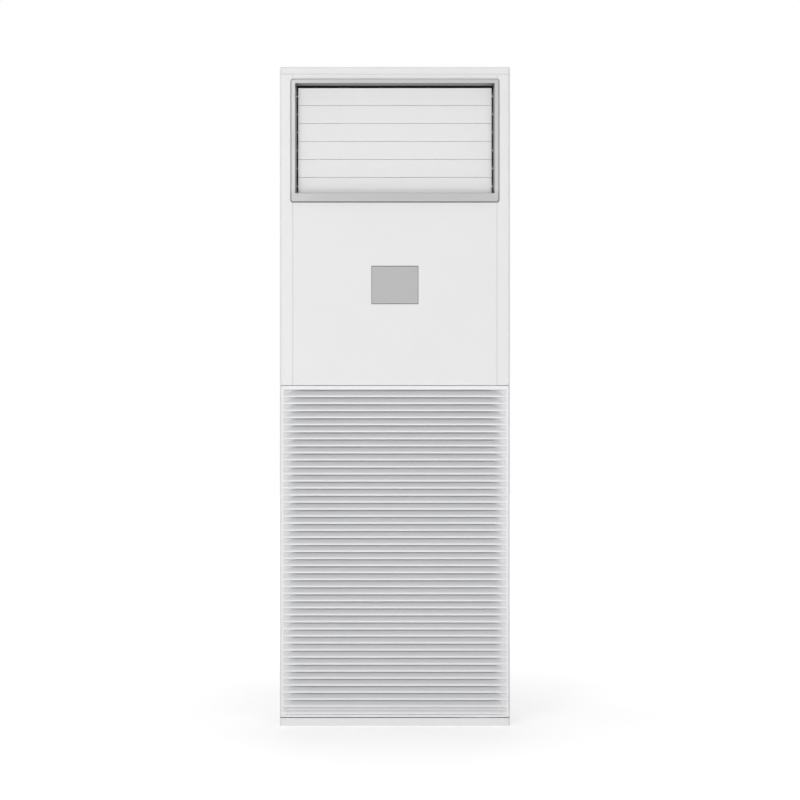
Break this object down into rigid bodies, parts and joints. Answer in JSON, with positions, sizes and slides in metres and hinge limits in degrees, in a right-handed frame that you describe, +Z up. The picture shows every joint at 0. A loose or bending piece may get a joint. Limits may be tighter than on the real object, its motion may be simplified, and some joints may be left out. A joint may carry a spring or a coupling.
{
  "type": "floor standing air conditioner",
  "caption": "Tall white cabinet air conditioner with louvred outlet in a silver frame, plain front panel with a grey display window, and a full-width intake grille over a low plinth.",
  "frame": {"origin": "centre of the bounding box's lower face, on the floor", "axes": "+Z up, -Y out of the front with the outlet and the grille, +X to the viewer's right when facing the front"},
  "size_m": [0.612, 0.37, 1.75],
  "materials": {
    "white_steel": "fine-textured white powder coat",
    "galvanised": "bare zinc-coated sheet",
    "white_plastic": "satin moulded plastic",
    "grille_plastic": "satin moulded plastic, cool white",
    "steel": "bright plated steel",
    "black_plastic": "matt black",
    "display_grey": "grey translucent window, smooth",
    "circuit_board": "green lacquer",
    "silver_trim": "silver-grey lacquer",
    "grey_plastic": "moulded grey plastic",
    "foam": "expanded foam",
    "aluminium_fin": "stacked thin fins",
    "copper": "bare copper tube",
    "filter_net": "woven filter net"
  },
  "bodies": {
    "cabinet": {"base_pan": "white_steel", "side_panel_left": "white_steel", "side_panel_right": "white_steel", "back_panel": "galvanised", "top_cover": "white_plastic", "wall_bracket": "steel", "cable_gland": "black_plastic", "front_casing": "white_plastic", "front_panel": "white_plastic", "top_strip": "white_plastic", "display_window": "display_grey", "display_board": "circuit_board", "outlet_frame": "silver_trim", "louvre_motor": "steel", "bearing_strip_left": "grey_plastic", "bearing_strip_right": "grey_plastic", "outlet_duct": "grey_plastic", "vane_motor": "steel", "plenum_liner": "foam", "coil_fins": "aluminium_fin", "coil_tube": "copper", "coil_end_plate_left": "galvanised", "coil_end_plate_right": "galvanised", "coil_baffle": "galvanised", "drain_pan": "grey_plastic", "drain_hose": "grey_plastic", "suction_pipe": "copper", "liquid_pipe": "copper", "deck_plate": "galvanised", "fan_scroll": "galvanised", "inlet_ring": "galvanised", "fan_motor": "steel", "motor_mount": "galvanised", "grille_catch_left": "grey_plastic", "grille_catch_right": "grey_plastic", "control_box": "galvanised", "control_box_cover": "galvanised", "control_board": "circuit_board"},
    "grille": {"intake_grille": "grille_plastic", "filter_frame": "grey_plastic", "filter_net": "filter_net"},
    "fan": {"fan_wheel": "grey_plastic", "fan_shaft": "steel"},
    "louvre_1": {"louvre_1": "white_plastic"},
    "louvre_2": {"louvre_2": "white_plastic"},
    "louvre_3": {"louvre_3": "white_plastic"},
    "louvre_4": {"louvre_4": "white_plastic"},
    "louvre_5": {"louvre_5": "white_plastic"},
    "louvre_6": {"louvre_6": "white_plastic"},
    "louvre_link": {"louvre_link": "grey_plastic"},
    "vane_1": {"vane_1": "grey_plastic"},
    "vane_2": {"vane_2": "grey_plastic"},
    "vane_3": {"vane_3": "grey_plastic"},
    "vane_4": {"vane_4": "grey_plastic"},
    "vane_5": {"vane_5": "grey_plastic"},
    "vane_6": {"vane_6": "grey_plastic"},
    "vane_7": {"vane_7": "grey_plastic"},
    "vane_link": {"vane_link": "grey_plastic"}
  },
  "joints": [
    {"name": "grille_hinge", "type": "hinge", "parent": "cabinet", "child": "grille", "pos_m": [0, -0.169, 0.032], "axis": [1, 0, 0], "range_deg": [0, 30]},
    {"name": "fan_spin", "type": "hinge", "parent": "cabinet", "child": "fan", "pos_m": [-0.025, 0, 0.4], "axis": [0, 1, 0], "continuous": true},
    {"name": "louvre_1_tilt", "type": "hinge", "parent": "cabinet", "child": "louvre_1", "pos_m": [0, -0.151, 1.675], "axis": [-1, 0, 0], "range_deg": [0, 80]},
    {"name": "louvre_2_tilt", "type": "hinge", "parent": "cabinet", "child": "louvre_2", "pos_m": [0, -0.151, 1.627], "axis": [-1, 0, 0], "range_deg": [0, 80]},
    {"name": "louvre_3_tilt", "type": "hinge", "parent": "cabinet", "child": "louvre_3", "pos_m": [0, -0.151, 1.579], "axis": [-1, 0, 0], "range_deg": [0, 80]},
    {"name": "louvre_4_tilt", "type": "hinge", "parent": "cabinet", "child": "louvre_4", "pos_m": [0, -0.151, 1.531], "axis": [-1, 0, 0], "range_deg": [0, 80]},
    {"name": "louvre_5_tilt", "type": "hinge", "parent": "cabinet", "child": "louvre_5", "pos_m": [0, -0.151, 1.483], "axis": [-1, 0, 0], "range_deg": [0, 80]},
    {"name": "louvre_6_tilt", "type": "hinge", "parent": "cabinet", "child": "louvre_6", "pos_m": [0, -0.151, 1.435], "axis": [-1, 0, 0], "range_deg": [0, 80]},
    {"name": "louvre_link_pivot", "type": "hinge", "parent": "louvre_1", "child": "louvre_link", "pos_m": [0.262, -0.14028, 1.684], "axis": [-1, 0, 0], "range_deg": [-80, 0]},
    {"name": "vane_1_swing", "type": "hinge", "parent": "cabinet", "child": "vane_1", "pos_m": [-0.222, -0.092, 1.5], "axis": [0, 0, 1], "range_deg": [-30, 30]},
    {"name": "vane_2_swing", "type": "hinge", "parent": "cabinet", "child": "vane_2", "pos_m": [-0.148, -0.092, 1.5], "axis": [0, 0, 1], "range_deg": [-30, 30]},
    {"name": "vane_3_swing", "type": "hinge", "parent": "cabinet", "child": "vane_3", "pos_m": [-0.074, -0.092, 1.5], "axis": [0, 0, 1], "range_deg": [-30, 30]},
    {"name": "vane_4_swing", "type": "hinge", "parent": "cabinet", "child": "vane_4", "pos_m": [0, -0.092, 1.5], "axis": [0, 0, 1], "range_deg": [-30, 30]},
    {"name": "vane_5_swing", "type": "hinge", "parent": "cabinet", "child": "vane_5", "pos_m": [0.074, -0.092, 1.5], "axis": [0, 0, 1], "range_deg": [-30, 30]},
    {"name": "vane_6_swing", "type": "hinge", "parent": "cabinet", "child": "vane_6", "pos_m": [0.148, -0.092, 1.5], "axis": [0, 0, 1], "range_deg": [-30, 30]},
    {"name": "vane_7_swing", "type": "hinge", "parent": "cabinet", "child": "vane_7", "pos_m": [0.222, -0.092, 1.5], "axis": [0, 0, 1], "range_deg": [-30, 30]},
    {"name": "vane_link_pivot", "type": "hinge", "parent": "vane_1", "child": "vane_link", "pos_m": [-0.222, -0.059, 1.424], "axis": [0, 0, 1], "range_deg": [-30, 30]}
  ],
  "couplings": [
    {"joint": "louvre_2_tilt", "follows": "louvre_1_tilt", "ratio": 1},
    {"joint": "louvre_3_tilt", "follows": "louvre_1_tilt", "ratio": 1},
    {"joint": "louvre_4_tilt", "follows": "louvre_1_tilt", "ratio": 1},
    {"joint": "louvre_5_tilt", "follows": "louvre_1_tilt", "ratio": 1},
    {"joint": "louvre_6_tilt", "follows": "louvre_1_tilt", "ratio": 1},
    {"joint": "louvre_link_pivot", "follows": "louvre_1_tilt", "ratio": -1},
    {"joint": "vane_2_swing", "follows": "vane_1_swing", "ratio": 1},
    {"joint": "vane_3_swing", "follows": "vane_1_swing", "ratio": 1},
    {"joint": "vane_4_swing", "follows": "vane_1_swing", "ratio": 1},
    {"joint": "vane_5_swing", "follows": "vane_1_swing", "ratio": 1},
    {"joint": "vane_6_swing", "follows": "vane_1_swing", "ratio": 1},
    {"joint": "vane_7_swing", "follows": "vane_1_swing", "ratio": 1},
    {"joint": "vane_link_pivot", "follows": "vane_1_swing", "ratio": -1}
  ]
}
